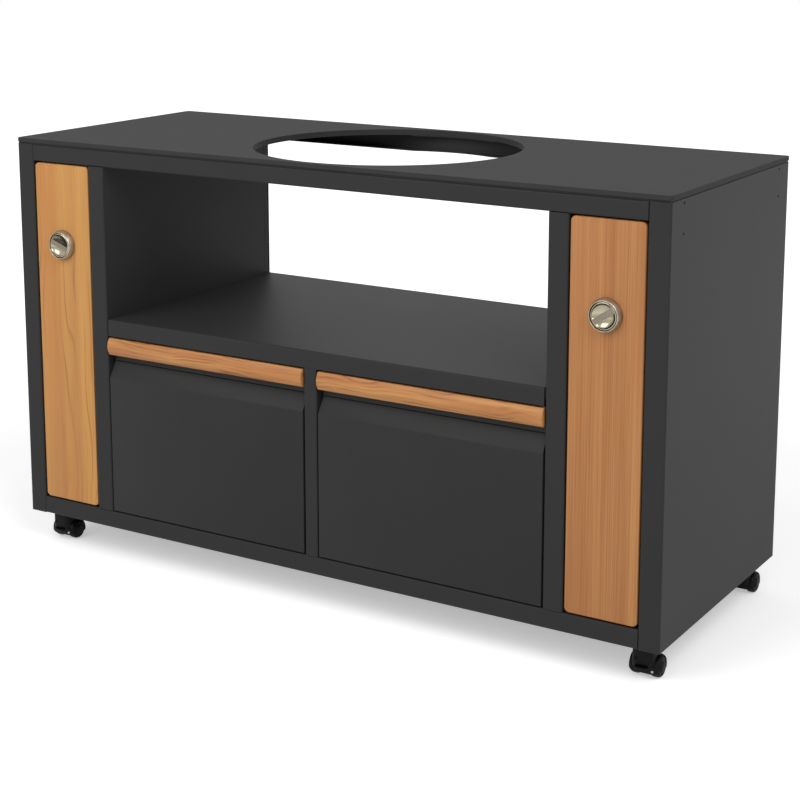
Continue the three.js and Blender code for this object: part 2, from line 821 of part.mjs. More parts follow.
// Hood: a bonnet over both wheels that rises into the swivel neck, with a stub axle to each side
function makeHood(withPedal) {
  const angle = (degrees) => THREE.MathUtils.degToRad(degrees);
  const outer = wheelRadius + wheelAir + hoodWall;
  const rim = (degrees) => [
    trail + outer * Math.cos(angle(degrees)), axleHeight + outer * Math.sin(angle(degrees)),
  ];
  const neck = hoodTop - neckDrop;
  const side = new THREE.Shape();
  side.moveTo(...rim(hoodFrontAngle));
  side.absarc(trail, axleHeight, outer, angle(hoodFrontAngle), angle(hoodShoulderAngle), true);
  side.quadraticCurveTo(-neckHalfDepth, axleHeight + outer, -neckHalfDepth, neck);
  side.quadraticCurveTo(-neckHalfDepth, hoodTop, -neckHalfDepth + neckDrop, hoodTop);
  side.lineTo(neckHalfDepth - neckDrop, hoodTop);
  side.quadraticCurveTo(neckHalfDepth, hoodTop, neckHalfDepth, neck);
  side.quadraticCurveTo(neckHalfDepth, axleHeight + outer, ...rim(hoodBackAngle));
  side.absarc(trail, axleHeight, outer, angle(hoodBackAngle), angle(hoodTailAngle), true);
  side.lineTo(trail, axleHeight);
  const bonnet = toSolid(
    bevelledPlate(side, hoodWidth, hoodRound, cornerSteps, 1)
      .applyMatrix4(turnToX)
      .translate(-hoodWidth / 2, 0, 0),
  );
  const well = wheelRadius + wheelAir;
  const spine = wheelInside - runningGap;
  const hub = rodX(hubDiameter / 2, -spine, spine, trail, axleHeight);
  const wells = [[-hoodWidth, -spine], [spine, hoodWidth]].map(([x0, x1]) => (
    rodX(well, x0, x1, trail, axleHeight, wheelSteps)
  ));
  const bore = rodZ(kingpinDiameter / 2 + seatGap, kingpinBottom - runningGap, overrun, 0, 0);
  const stubs = rodX(axleDiameter / 2, -axleEnd, axleEnd, trail, axleHeight);
  let body = cut(join(bonnet, hub), ...wells, bore);
  if (withPedal) body = cut(body, makePedalPocket());
  return toGeometry(join(body, stubs));
}

// Brake pedal: a toe tab on a hub that turns in a pocket at the front of the hood
const pedalY = -pedalPivotForward;
const pedalZ = -pedalPivotDrop;

function pedalLine(tilt, along, across) {
  const lean = THREE.MathUtils.degToRad(tilt);
  return [
    pedalY - along * Math.cos(lean) - across * Math.sin(lean),
    pedalZ - along * Math.sin(lean) + across * Math.cos(lean),
  ];
}

function makePedal() {
  const half = pedalThickness / 2;
  const width = pedalWidth / 2;
  const tab = outline([
    pedalLine(pedalTilt, 0, half),
    pedalLine(pedalTilt, pedalReach - half, half),
    pedalLine(pedalTilt, pedalReach, 0),
    pedalLine(pedalTilt, pedalReach - half, -half),
    pedalLine(pedalTilt, 0, -half),
  ]);
  const hub = rodX(pedalHubRadius, -width, width, pedalY, pedalZ);
  return toGeometry(join(prismX(tab, -width, width), hub));
}

function makePedalPocket() {
  const width = pedalWidth / 2 + runningGap;
  const half = pedalThickness / 2 + runningGap;
  const lowTilt = pedalTilt + pedalTravel;
  const mouth = outline([
    pedalLine(pedalTilt, 0, half),
    pedalLine(pedalTilt, pedalReach + overrun, half),
    pedalLine(lowTilt, pedalReach + overrun, -half),
    pedalLine(lowTilt, 0, -half),
  ]);
  const seat = rodX(pedalHubRadius + runningGap, -width, width, pedalY, pedalZ);
  return join(prismX(mouth, -width, width), seat);
}

// Wheel: a domed disc with a blind bore, turned about the axle
function makeWheel() {
  const bore = axleDiameter / 2 + seatGap;
  const dome = wheelOutside - wheelDome;
  return turned([
    [0, wheelOutside - axleCover],
    [bore, wheelOutside - axleCover],
    [bore, wheelInside],
    [wheelRadius - treadRound, wheelInside],
    [wheelRadius, wheelInside + treadRound],
    [wheelRadius, dome - treadRound],
    [wheelRadius - treadRound, dome],
    [hubDiameter / 2, wheelOutside],
    [0, wheelOutside],
  ], wheelSteps).rotateZ(-Math.PI / 2);
}

function makeCasters() {
  const x = halfWidth - casterInsetX;
  const y = backY - casterInsetY;
  const corners = [
    ['front_left', -x, -y], ['front_right', x, -y], ['back_left', -x, y], ['back_right', x, y],
  ];
  for (const [corner, atX, atY] of corners) {
    const hasPedal = corner.startsWith('front');
    const caster = new THREE.Group();
    caster.position.set(atX, atY, bodyBottom);
    table.add(caster);
    addPiece(`${corner}_caster_plate`, makeCasterPlate(), zincFinish, caster);
    addPiece(`${corner}_caster_hood`, makeHood(hasPedal), blackPlasticFinish, caster);
    if (hasPedal) addPiece(`${corner}_caster_pedal`, makePedal(), blackPlasticFinish, caster);
    const wheel = toGeometry(toSolid(makeWheel()));
    for (const [hand, shape] of [['left', mirrored(wheel)], ['right', wheel]]) {
      const piece = addPiece(`${corner}_caster_${hand}_wheel`, shape, tyreFinish, caster);
      piece.position.set(0, trail, axleHeight);
    }
  }
}

makeTabletop();
makeSidePanels();
makePartitions();
makeRearPosts();
makeRails();
makeShelf();
makeFloorPanel();
makeBackPanel();
makeCentreDivider();
makeDoors();
makeLatches();
makeDrawerFronts();
makeDrawerPulls();
makeDrawerBoxes();
makeRunners();
makeCasters();

// The latches stand proud of the front, so the table moves back until the origin is mid-way
table.position.y = (bezelHeight - doorRecess - topOverhang) / 2;

export default table;
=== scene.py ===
import json
import math
import bpy
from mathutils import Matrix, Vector


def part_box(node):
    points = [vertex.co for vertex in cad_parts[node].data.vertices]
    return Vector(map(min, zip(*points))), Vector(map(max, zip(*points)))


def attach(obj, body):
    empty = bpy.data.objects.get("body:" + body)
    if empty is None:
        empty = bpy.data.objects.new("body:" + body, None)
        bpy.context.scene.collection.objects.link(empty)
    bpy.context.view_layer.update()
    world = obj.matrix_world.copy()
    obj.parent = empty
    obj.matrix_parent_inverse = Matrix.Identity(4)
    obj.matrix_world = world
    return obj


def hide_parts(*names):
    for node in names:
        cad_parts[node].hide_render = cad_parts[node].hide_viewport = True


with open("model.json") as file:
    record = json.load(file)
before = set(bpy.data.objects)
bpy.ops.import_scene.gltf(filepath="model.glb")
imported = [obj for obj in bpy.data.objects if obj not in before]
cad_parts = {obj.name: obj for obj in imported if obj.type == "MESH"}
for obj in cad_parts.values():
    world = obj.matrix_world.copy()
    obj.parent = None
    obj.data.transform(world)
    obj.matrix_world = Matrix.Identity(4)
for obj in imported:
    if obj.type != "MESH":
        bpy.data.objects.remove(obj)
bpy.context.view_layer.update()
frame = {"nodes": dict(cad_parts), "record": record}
print("CAD frame loaded:", len(frame["nodes"]), "nodes")

mm = 0.001
near = 0.01 * mm  # places this close count as one
sides = {"left": -1, "right": 1}  # with the sign of X there
slots = {part["node"]: part["material_slot"] for part in frame["record"]["subparts"]}


# Camera
camera = {
    "place": (1.805, -2.892, 1.303),
    "lens": 80.19,
    "sensor": 36,
    "pitchDown": 10.61,
    "turn": 31.55,
    "shiftY": -0.2,
    "farEnd": 60,
}


def setCamera(look):
    bpy.ops.object.camera_add(location=look["place"])
    eye = bpy.context.object
    eye.name = "camera"
    eye.rotation_euler = (math.radians(90 - look["pitchDown"]), 0, math.radians(look["turn"]))
    eye.data.lens = look["lens"]
    eye.data.sensor_width = look["sensor"]
    eye.data.shift_y = look["shiftY"]
    eye.data.clip_end = look["farEnd"]
    bpy.context.scene.camera = eye


# Edit helpers
def deselectAll():
    if bpy.context.object and bpy.context.object.mode != "OBJECT":
        bpy.ops.object.mode_set(mode="OBJECT")
    bpy.ops.object.select_all(action="DESELECT")


def makeActive(piece):
    deselectAll()
    piece.select_set(True)
    bpy.context.view_layer.objects.active = piece


def settle(piece):
    # place, turn and size go into the mesh, so the object sits at the origin
    makeActive(piece)
    bpy.ops.object.transform_apply(location=True, rotation=True, scale=True)


def startBlock(name, low, high):
    low, high = Vector(low), Vector(high)
    deselectAll()
    bpy.ops.mesh.primitive_cube_add(size=1, location=(low + high) / 2)
    piece = bpy.context.object
    piece.name = name
    piece.scale = high - low
    settle(piece)
    return piece


turnTo = {"x": (0, math.pi / 2, 0), "y": (math.pi / 2, 0, 0), "z": (0, 0, 0)}


def startRod(name, centre, radius, length, along, sides=48):
    deselectAll()
    bpy.ops.mesh.primitive_cylinder_add(
        vertices=sides, radius=radius, depth=length, location=centre, rotation=turnTo[along]
    )
    piece = bpy.context.object
    piece.name = name
    settle(piece)
    return piece


def startBall(name, centre, reach, segments):
    deselectAll()
    bpy.ops.mesh.primitive_uv_sphere_add(segments=segments, ring_count=segments // 2, location=centre)
    piece = bpy.context.object
    piece.name = name
    piece.scale = reach
    settle(piece)
    return piece


def pickAll(piece):
    makeActive(piece)
    bpy.ops.object.mode_set(mode="EDIT")
    bpy.ops.mesh.select_all(action="SELECT")


def startPicking(piece, kind):
    # the old selection is cleared in edit mode, and the new one is set outside it
    makeActive(piece)
    bpy.ops.object.mode_set(mode="EDIT")
    bpy.ops.mesh.select_mode(type=kind)
    bpy.ops.mesh.select_all(action="DESELECT")
    bpy.ops.object.mode_set(mode="OBJECT")


def pickFaces(piece, test):
    startPicking(piece, "FACE")
    for face in piece.data.polygons:
        face.select = test(face.center, face.normal)
    bpy.ops.object.mode_set(mode="EDIT")


def pickEdges(piece, test):
    startPicking(piece, "EDGE")
    points = piece.data.vertices
    for edge in piece.data.edges:
        a, b = (points[i].co for i in edge.vertices)
        edge.select = test((a + b) / 2, (b - a).normalized())
    bpy.ops.object.mode_set(mode="EDIT")


def bevelPicked(width, segments):
    bpy.ops.mesh.bevel(offset=width, segments=segments, affect="EDGES", clamp_overlap=True)
    bpy.ops.object.mode_set(mode="OBJECT")


def growCap(piece, outward, radius, height, steps):
    # the end face is extruded to each height in turn, and its ring scaled to each radius
    outward = Vector(outward)
    end = max(outward.dot(face.center) for face in piece.data.polygons)
    pickFaces(piece, lambda centre, normal: normal.dot(outward) > 0.9 and outward.dot(centre) > end - near)
    for newRadius, newHeight in steps:
        move = outward * (newHeight - height)
        bpy.ops.mesh.extrude_region_move(TRANSFORM_OT_translate={"value": move})
        share = newRadius / radius
        bpy.ops.transform.resize(value=(share, share, share))
        radius, height = newRadius, newHeight
    bpy.ops.object.mode_set(mode="OBJECT")


def cutAway(piece, point, normal):
    # the side that the normal points to goes, and the cut is closed
    pickAll(piece)
    bpy.ops.mesh.bisect(plane_co=point, plane_no=normal, use_fill=True, clear_outer=True)
    bpy.ops.object.mode_set(mode="OBJECT")


def combine(piece, tool, operation):
    makeActive(piece)
    step = piece.modifiers.new("combine", "BOOLEAN")
    step.operation = operation
    step.solver = "EXACT"
    step.object = tool
    bpy.ops.object.modifier_apply(modifier=step.name)
    bpy.data.objects.remove(tool, do_unlink=True)


def softenEdges(piece, width, segments=2, angle=32):
    makeActive(piece)
    step = piece.modifiers.new("soften", "BEVEL")
    step.width = width
    step.segments = segments
    step.limit_method = "ANGLE"
    step.angle_limit = math.radians(angle)
    step.use_clamp_overlap = True
    bpy.ops.object.modifier_apply(modifier=step.name)


def smooth(piece, angle=35):
    makeActive(piece)
    bpy.ops.object.shade_smooth_by_angle(angle=math.radians(angle))


def tidyMesh(piece):
    pickAll(piece)
    bpy.ops.mesh.remove_doubles(threshold=2e-6)
    bpy.ops.mesh.normals_make_consistent(inside=False)
    bpy.ops.object.mode_set(mode="OBJECT")


def turnMesh(piece, axis, degrees, about):
    # with no window transform.rotate turns the other way, so the angle changes its sign
    pickAll(piece)
    bpy.ops.transform.rotate(value=-math.radians(degrees), orient_axis=axis, center_override=about)
    bpy.ops.object.mode_set(mode="OBJECT")


def duplicate(piece, name, shift=(0, 0, 0)):
    makeActive(piece)
    bpy.ops.object.duplicate()
    other = bpy.context.object
    other.name = name
    other.location = shift
    settle(other)
    return other


def copyTo(piece, places):
    # the piece stands at the first place, and each other place gets a copy with its own mesh
    first = next(iter(places))
    copies = {first: piece}
    for key, place in places.items():
        if key != first:
            copies[key] = duplicate(piece, piece.name.replace(first, key), place - places[first])
    return copies


def finishPiece(piece, body, material):
    piece.data.materials.clear()
    piece.data.materials.append(material)
    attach(piece, body)
    return piece


# Materials
def linear(code):
    channels = [int(code[i : i + 2], 16) / 255 for i in (1, 3, 5)]
    straight = [c / 12.92 if c <= 0.04045 else ((c + 0.055) / 1.055) ** 2.4 for c in channels]
    return (*straight, 1)


def addNode(tree, kind, settings, links):
    node = tree.nodes.new(kind)
    for key, value in settings.items():
        if key in node.inputs.keys() or isinstance(key, int):
            node.inputs[key].default_value = value
        else:
            setattr(node, key, value)
    for key, socket in links.items():
        tree.links.new(socket, node.inputs[key])
    return node


def startMaterial(name, settings):
    material = bpy.data.materials.new(name)
    material.use_nodes = True
    tree = material.node_tree
    shader = tree.nodes["Principled BSDF"]
    for key, value in settings.items():
        shader.inputs[key].default_value = value
    return material, tree, shader


def makePowderCoat(look):
    # polyester powder coat: matt, with a fine even grain that only shows in raking light
    material, tree, shader = startMaterial(
        look["name"],
        {
            "Base Color": linear(look["colour"]),
            "Roughness": look["roughness"],
            "Specular IOR Level": look["gloss"],
        },
    )
    place = addNode(tree, "ShaderNodeTexCoord", {}, {})
    grain = addNode(
        tree,
        "ShaderNodeTexNoise",
        {"Scale": 1000 / look["grainMm"], "Detail": 2.0, "Roughness": 0.6},
        {"Vector": place.outputs["Object"]},
    )
    cloud = addNode(
        tree,
        "ShaderNodeTexNoise",
        {"Scale": 1000 / look["cloudMm"], "Detail": 3.0, "Roughness": 0.55},
        {"Vector": place.outputs["Object"]},
    )
    tint = addNode(
        tree,
        "ShaderNodeMix",
        {"data_type": "RGBA", 6: linear(look["colour"]), 7: linear(look["lighter"])},
        {0: cloud.outputs["Fac"]},
    )
    tree.links.new(tint.outputs[2], shader.inputs["Base Color"])
    relief = addNode(
        tree,
        "ShaderNodeBump",
        {"Strength": look["relief"], "Distance": look["reliefMm"] * mm},
        {"Height": grain.outputs["Fac"]},
    )
    tree.links.new(relief.outputs["Normal"], shader.inputs["Normal"])
    return material


powderLooks = {
    # fine-texture powder on the top plate; its 0.6 mm grain is drawn as 2.2 mm so that it shows
    "top_plate": {
        "name": "texturedPowderCoat",
        "colour": "#303030",
        "lighter": "#363636",
        "roughness": 0.7,
        "gloss": 0.12,
        "grainMm": 2.2,
        "cloudMm": 60,
        "relief": 0.4,
        "reliefMm": 0.25,
    },
    # smooth matt powder on the folded sheet; its 0.4 mm grain is drawn as 1.6 mm
    "powder_steel": {
        "name": "mattPowderCoat",
        "colour": "#2c2c2c",
        "lighter": "#303030",
        "roughness": 0.5,
        "gloss": 0.11,
        "grainMm": 1.6,
        "cloudMm": 140,
        "relief": 0.12,
        "reliefMm": 0.1,
    },
}


def addGrainNoise(tree, place, axis, seed, noise):
    # noise drawn out along the grain, its middle range spread from one value to another
    scale = [1000 / noise["acrossMm"]] * 3
    scale[axis] = 1000 / noise["alongMm"]
    shift = (seed, seed * 0.7, seed * 0.4)
    run = addNode(tree, "ShaderNodeMapping", {"Scale": scale, "Location": shift}, {"Vector": place})
    cloud = addNode(
        tree,
        "ShaderNodeTexNoise",
        {"Scale": 1.0, "Detail": noise.get("detail", 1.0)},
        {"Vector": run.outputs["Vector"]},
    )
    low, high = noise["middle"]
    start, end = noise["out"]
    spread = addNode(
        tree,
        "ShaderNodeMapRange",
        {"From Min": low, "From Max": high, "To Min": start, "To Max": end},
        {"Value": cloud.outputs["Fac"]},
    )
    return spread.outputs["Result"]


def makeTeak(look):
    # oiled teak: pale and warm bands, wandering latewood lines and short pores, laid on in turn
    material, tree, shader = startMaterial(
        look["name"],
        {
            "Base Color": linear(look["pale"]),
            "Roughness": look["roughness"],
            "Specular IOR Level": look["gloss"],
        },
    )
    place = addNode(tree, "ShaderNodeTexCoord", {}, {}).outputs["Object"]
    axis = look["grainAxis"]
    colour = None
    for count, layer in enumerate(look["layers"]):
        share = addGrainNoise(tree, place, axis, look["seed"] + count * 2, layer)
        if "ringMm" in layer:
            # growth rings: a saw wave across the grain, pushed sideways by slow noise
            push = addGrainNoise(tree, place, axis, look["seed"] + 9, look["sway"])
            pushed = addNode(tree, "ShaderNodeVectorMath", {"operation": "ADD"}, {0: place, 1: push})
            rings = addNode(
                tree,
                "ShaderNodeTexWave",
                {
                    "wave_profile": "SAW",
                    "bands_direction": look["acrossAxis"],
                    "Scale": 2 * math.pi / 20 / (layer["ringMm"] * mm),
                    "Distortion": 0.0,
                },
                {"Vector": pushed.outputs["Vector"]},
            )
            edge = addNode(
                tree,
                "ShaderNodeMapRange",
                {"From Min": layer["ringEdge"]},
                {"Value": rings.outputs["Fac"]},
            )
            both = addNode(
                tree, "ShaderNodeMath", {"operation": "MULTIPLY"}, {0: edge.outputs["Result"], 1: share}
            )
            share = both.outputs[0]
        tint = addNode(
            tree,
            "ShaderNodeMix",
            {"data_type": "RGBA", 6: linear(look["pale"]), 7: linear(layer["colour"])},
            {0: share},
        )
        if colour:
            tree.links.new(colour, tint.inputs[6])
        colour = tint.outputs[2]
    tree.links.new(colour, shader.inputs["Base Color"])
    relief = addNode(
        tree,
        "ShaderNodeBump",
        {"Strength": look["relief"], "Distance": look["reliefMm"] * mm, "invert": True},
        {"Height": share},
    )
    tree.links.new(relief.outputs["Normal"], shader.inputs["Normal"])
    return material


# layers of grain, the later on top; the 0.3 mm pores, each teak's last layer, are drawn as 1.7 mm streaks
teakRight = {
    "name": "oiledTeakQuarterSawn",
    "grainAxis": 2,
    "acrossAxis": "X",
    "seed": 2.0,
    "sway": {"acrossMm": 120, "alongMm": 900, "middle": (0, 1), "out": (-10 * mm, 10 * mm)},
    "pale": "#b98350",
    "layers": [
        {"colour": "#aa7243", "acrossMm": 24, "alongMm": 720, "middle": (0.35, 0.65), "out": (0, 1)},
        {"colour": "#ad6f3f", "acrossMm": 60, "alongMm": 1400, "middle": (0.42, 0.66), "out": (0, 0.5)},
        {
            "colour": "#965e33",
            "acrossMm": 3.0,
            "alongMm": 700,
            "detail": 2.0,
            "middle": (0.4, 0.66),
            "out": (0, 0.5),
        },
        {
            "colour": "#8d5830",
            "acrossMm": 12,
            "alongMm": 900,
            "middle": (0.4, 0.7),
            "out": (0, 0.6),
            "ringMm": 3.8,
            "ringEdge": 0.45,
        },
        {"colour": "#8f5a32", "acrossMm": 1.7, "alongMm": 160, "middle": (0.5, 0.72), "out": (0, 0.4)},
    ],
    "roughness": 0.5,
    "gloss": 0.3,
    "relief": 0.2,
    "reliefMm": 0.1,
}
teakLeft = {
    **teakRight,
    "name": "oiledTeakFlatSawn",
    "seed": 11.0,
    "sway": {"acrossMm": 70, "alongMm": 360, "middle": (0, 1), "out": (-34 * mm, 34 * mm)},
    "pale": "#c5904f",
    "layers": [
        {"colour": "#b8834a", "acrossMm": 30, "alongMm": 900, "middle": (0.35, 0.65), "out": (0, 1)},
        {"colour": "#bc7c44", "acrossMm": 48, "alongMm": 1100, "middle": (0.45, 0.7), "out": (0, 0.6)},
        {
            "colour": "#8a5128",
            "acrossMm": 34,
            "alongMm": 420,
            "middle": (0.45, 0.68),
            "out": (0, 0.8),
            "ringMm": 16,
            "ringEdge": 0.74,
        },
        {"colour": "#a06a38", "acrossMm": 1.7, "alongMm": 160, "middle": (0.5, 0.72), "out": (0, 0.3)},
    ],
}
teakLying = {
    **teakRight,
    "name": "oiledTeakLying",
    "grainAxis": 0,
    "acrossAxis": "Z",
    "seed": 5.0,
    "sway": {"acrossMm": 45, "alongMm": 120, "middle": (0, 1), "out": (-20 * mm, 20 * mm)},
    "pale": "#c18a52",
    "layers": [
        {"colour": "#b07544", "acrossMm": 14, "alongMm": 300, "middle": (0.35, 0.65), "out": (0, 1)},
        {"colour": "#b27041", "acrossMm": 22, "alongMm": 430, "middle": (0.48, 0.7), "out": (0, 0.5)},
        {
            "colour": "#85502a",
            "acrossMm": 14,
            "alongMm": 90,
            "middle": (0.42, 0.66),
            "out": (0, 0.95),
            "ringMm": 8,
            "ringEdge": 0.45,
        },
        {"colour": "#8f5a32", "acrossMm": 1.7, "alongMm": 60, "middle": (0.5, 0.72), "out": (0, 0.35)},
    ],
}


def makeSteel(look):
    # stainless or zinc-plated steel: fine brush lines stretch the highlights across them
    material, tree, shader = startMaterial(
        look["name"],
        {
            "Base Color": linear(look["colour"]),
            "Metallic": 1.0,
            "Roughness": look["roughness"],
        },
    )
    place = addNode(tree, "ShaderNodeTexCoord", {}, {})
    run = addNode(
        tree,
        "ShaderNodeMapping",
        {"Scale": [1000 / size for size in look["lineMm"]], "Rotation": (0, math.radians(look["tilt"]), 0)},
        {"Vector": place.outputs["Object"]},
    )
    brush = addNode(
        tree,
        "ShaderNodeTexNoise",
        {"Scale": 1.0, "Detail": 2.0},
        {"Vector": run.outputs["Vector"]},
    )
    spread = addNode(
        tree,
        "ShaderNodeMapRange",
        {
            "From Min": 0.3,
            "From Max": 0.7,
            "To Min": look["roughness"] * (1 - look["uneven"]),
            "To Max": look["roughness"] * (1 + look["uneven"]),
        },
        {"Value": brush.outputs["Fac"]},
    )
    tree.links.new(spread.outputs["Result"], shader.inputs["Roughness"])
    relief = addNode(
        tree,
        "ShaderNodeBump",
        {"Strength": look["relief"], "Distance": look["reliefMm"] * mm},
        {"Height": brush.outputs["Fac"]},
    )
    tree.links.new(relief.outputs["Normal"], shader.inputs["Normal"])
    return material


# turned and plated steel has no brush lines, only a slow unevenness
turnedSteel = {"lineMm": (6, 6, 6), "tilt": 0, "relief": 0.02, "reliefMm": 0.05, "uneven": 0.3}
platedSteel = {**turnedSteel, "lineMm": (5, 5, 5), "relief": 0.05}
steelLooks = {
    # turned and polished bezel
    "polished": {**turnedSteel, "name": "polishedStainless", "colour": "#a59e91", "roughness": 0.3},
    # satin flank of the bezel, which takes the room's light more evenly
    "satin": {**turnedSteel, "name": "satinStainless", "colour": "#a8a294", "roughness": 0.4},
    # polished finger scoops, painted darker and more olive than the bezel's steel as shade and reflection in
    # the hollow bowls
    "scoop": {**turnedSteel, "name": "polishedStainlessScoop", "colour": "#a39a84", "roughness": 0.22},
    # handle with brush lines across its bar; 0.2 mm lines are drawn as 1.6 mm
    "brushed": {
        **turnedSteel,
        "name": "brushedStainless",
        "colour": "#7a7265",
        "roughness": 0.34,
        "lineMm": (1.6, 12, 12),
        "tilt": -55,
        "relief": 0.6,
    },
    # blue-white zinc on runners, plates and bolts
    "zinc": {**platedSteel, "name": "zincPlatedSteel", "colour": "#9c9fa2", "roughness": 0.38},
    # black zinc on the pivot pins and cabinet channels, which stay dark in the gaps; the same dark steel is
    # painted shade on the handle's walls beside the bar
    "blackZinc": {**platedSteel, "name": "blackZincPlatedSteel", "colour": "#2a2a2b", "roughness": 0.45},
}


def makePlastic(look):
    # moulded nylon or polyurethane: near black, with a soft sheen from the spark-eroded mould
    material, tree, shader = startMaterial(
        look["name"],
        {
            "Base Color": linear(look["colour"]),
            "Roughness": look["roughness"],
            "Specular IOR Level": look["gloss"],
        },
    )
    place = addNode(tree, "ShaderNodeTexCoord", {}, {})
    grain = addNode(
        tree,
        "ShaderNodeTexNoise",
        {"Scale": 1000 / look["grainMm"], "Detail": 2.0},
        {"Vector": place.outputs["Object"]},
    )
    relief = addNode(
        tree,
        "ShaderNodeBump",
        {"Strength": look["relief"], "Distance": look["reliefMm"] * mm},
        {"Height": grain.outputs["Fac"]},
    )
    tree.links.new(relief.outputs["Normal"], shader.inputs["Normal"])
    return material


# the 0.1 mm spark-eroded grain is drawn as 1.2 to 1.5 mm so that it shows
mouldedGrain = {"gloss": 0.12, "relief": 0.15, "reliefMm": 0.1}
plasticLooks = {
    "black_plastic": {
        **mouldedGrain,
        "name": "blackNylon",
        "colour": "#0a0a0a",
        "roughness": 0.42,
        "grainMm": 1.2,
    },
    "tread": {
        **mouldedGrain,
        "name": "wheelPolyurethane",
        "colour": "#0c0c0c",
        "roughness": 0.5,
        "grainMm": 1.5,
    },
}

finishes = {slot: makePowderCoat(look) for slot, look in powderLooks.items()}
finishes.update({slot: makePlastic(look) for slot, look in plasticLooks.items()})
teaks = {"left": makeTeak(teakLeft), "right": makeTeak(teakRight), "lying": makeTeak(teakLying)}
steels = {kind: makeSteel(look) for kind, look in steelLooks.items()}
finishes.update({"teak": teaks["right"], "stainless": steels["polished"], "zinc": steels["zinc"]})

for node, piece in frame["nodes"].items():
    piece.data.materials.clear()
    dark = node.endswith(("door_pin", "drawer_channel"))
    piece.data.materials.append(steels["blackZinc"] if dark else finishes[slots[node]])
print("materials ready")


# Teak doors
door = {"cornerRadius": 9 * mm, "roundOver": 2.2 * mm, "pinAir": 0.3 * mm, "latchBore": 9.3 * mm}


def leftAndRight(node):
    # where the left and right CAD pieces start, for copying one to the other
    return {side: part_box(f"{side}_{node}")[0] for side in sides}


def makeSlab():
    # a plain door with its bore for the latch
    low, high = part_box("left_door")
    piece = startBlock("left_teak_door", low, high)
    pickEdges(piece, lambda middle, along: abs(along.y) > 0.9)
    bevelPicked(door["cornerRadius"], 6)
    softenEdges(piece, door["roundOver"], 3, 60)
    bezelLow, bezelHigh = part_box("left_latch_bezel")
    spot = (bezelLow + bezelHigh) / 2
    thick = high.y - low.y
    bore = startRod("bore", (spot.x, (low.y + high.y) / 2, spot.z), door["latchBore"], 2 * thick, "y", 48)
    combine(piece, bore, "DIFFERENCE")
    return piece


def boreForPins(piece, side):
    air = door["pinAir"]
    for pin in ("lower", "upper"):
        low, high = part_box(f"{side}_{pin}_door_pin")
        middle = (low + high) / 2
        bore = startRod("bore", middle, (high.y - low.y) / 2 + air, high.z - low.z + 2 * air, "z", 24)
        combine(piece, bore, "DIFFERENCE")


for side, piece in copyTo(makeSlab(), leftAndRight("door")).items():
    boreForPins(piece, side)
    smooth(piece, 30)
    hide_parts(f"{side}_door")
    finishPiece(piece, f"{side}_door", teaks[side])
print("doors ready")


# Teak pulls
pull = {"frontRadius": 25.5 * mm, "roundOver": 0.9 * mm}


def makePull():
    low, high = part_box("left_drawer_pull")
    centre = ((low.x + high.x) / 2, low.y + pull["frontRadius"], (low.z + high.z) / 2)
    piece = startRod("left_teak_pull", centre, pull["frontRadius"], high.x - low.x, "x", 96)
    cutAway(piece, (0, high.y, 0), (0, 1, 0))
    cutAway(piece, (0, 0, high.z), (0, 0, 1))
    cutAway(piece, (0, 0, low.z), (0, 0, -1))
    softenEdges(piece, pull["roundOver"], 2, 40)
    smooth(piece, 30)
    return piece


for side, piece in copyTo(makePull(), leftAndRight("drawer_pull")).items():
    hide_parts(f"{side}_drawer_pull")
    finishPiece(piece, f"{side}_drawer", teaks["lying"])
print("pulls ready")


# Drawer fronts
drawer = {
    "sheet": 1.2 * mm,
    "setBack": 18 * mm,
    "slantLow": 382 * mm,
    "slantHigh": 414 * mm,
    "skirtDepth": 20 * mm,
    "bendRadius": 1.0 * mm,
    "edgeRound": 0.5 * mm,
    "creaseGap": 1.3 * mm,
    "creaseDepth": 3 * mm,
    "lipGap": 0.4 * mm,
}


def makeProfile(name, low, high, back):
    # a block whose front leans back above the bend and stands upright again above the crease
    bend, crease = drawer["slantLow"], drawer["slantHigh"]
    piece = startBlock(name, low, (high.x, back, bend))
    pickFaces(piece, lambda centre, normal: normal.z > 0.9)
    bpy.ops.mesh.extrude_region_move(TRANSFORM_OT_translate={"value": (0, 0, crease - bend)})
    bpy.ops.object.mode_set(mode="OBJECT")
    pickEdges(piece, lambda middle, along: middle.z > crease - near and abs(middle.y - low.y) < near)
    bpy.ops.transform.translate(value=(0, drawer["setBack"], 0))
    bpy.ops.object.mode_set(mode="OBJECT")
    pickFaces(piece, lambda centre, normal: normal.z > 0.9)
    bpy.ops.mesh.extrude_region_move(TRANSFORM_OT_translate={"value": (0, 0, high.z - crease)})
    bpy.ops.object.mode_set(mode="OBJECT")
    return piece


def makeDrawerFront():
    low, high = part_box("left_drawer_front")
    sheet = drawer["sheet"]
    bend, crease = drawer["slantLow"], drawer["slantHigh"]
    wall = low.y + drawer["setBack"]
    back = low.y + drawer["skirtDepth"]
    piece = makeProfile("left_folded_front", low, high, back)
    # the sheet's inside, open at the back
    inset = Vector((sheet, sheet, sheet))
    hollow = makeProfile("hollow", low + inset, high - inset, back + 5 * mm)
    combine(piece, hollow, "DIFFERENCE")
    lip = startBlock("lip", (low.x, wall + drawer["lipGap"], high.z - sheet), high)
    combine(piece, lip, "UNION")
    # dark gap along the upper bend
    half, depth = drawer["creaseGap"] / 2, drawer["creaseDepth"]
    slit = startBlock(
        "slit",
        (low.x + 2 * sheet, wall - depth, crease - half),
        (high.x - 2 * sheet, wall + depth, crease + half),
    )
    combine(piece, slit, "DIFFERENCE")
    pickEdges(
        piece,
        lambda middle, along: abs(along.x) > 0.9 and abs(middle.z - bend) < near and middle.y < low.y + near,
    )
    bevelPicked(drawer["bendRadius"], 4)
    softenEdges(piece, drawer["edgeRound"], 2, 40)
    smooth(piece, 35)
    return piece


for side, piece in copyTo(makeDrawerFront(), leftAndRight("drawer_front")).items():
    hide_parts(f"{side}_drawer_front")
    finishPiece(piece, f"{side}_drawer", finishes["powder_steel"])
print("drawer fronts ready")


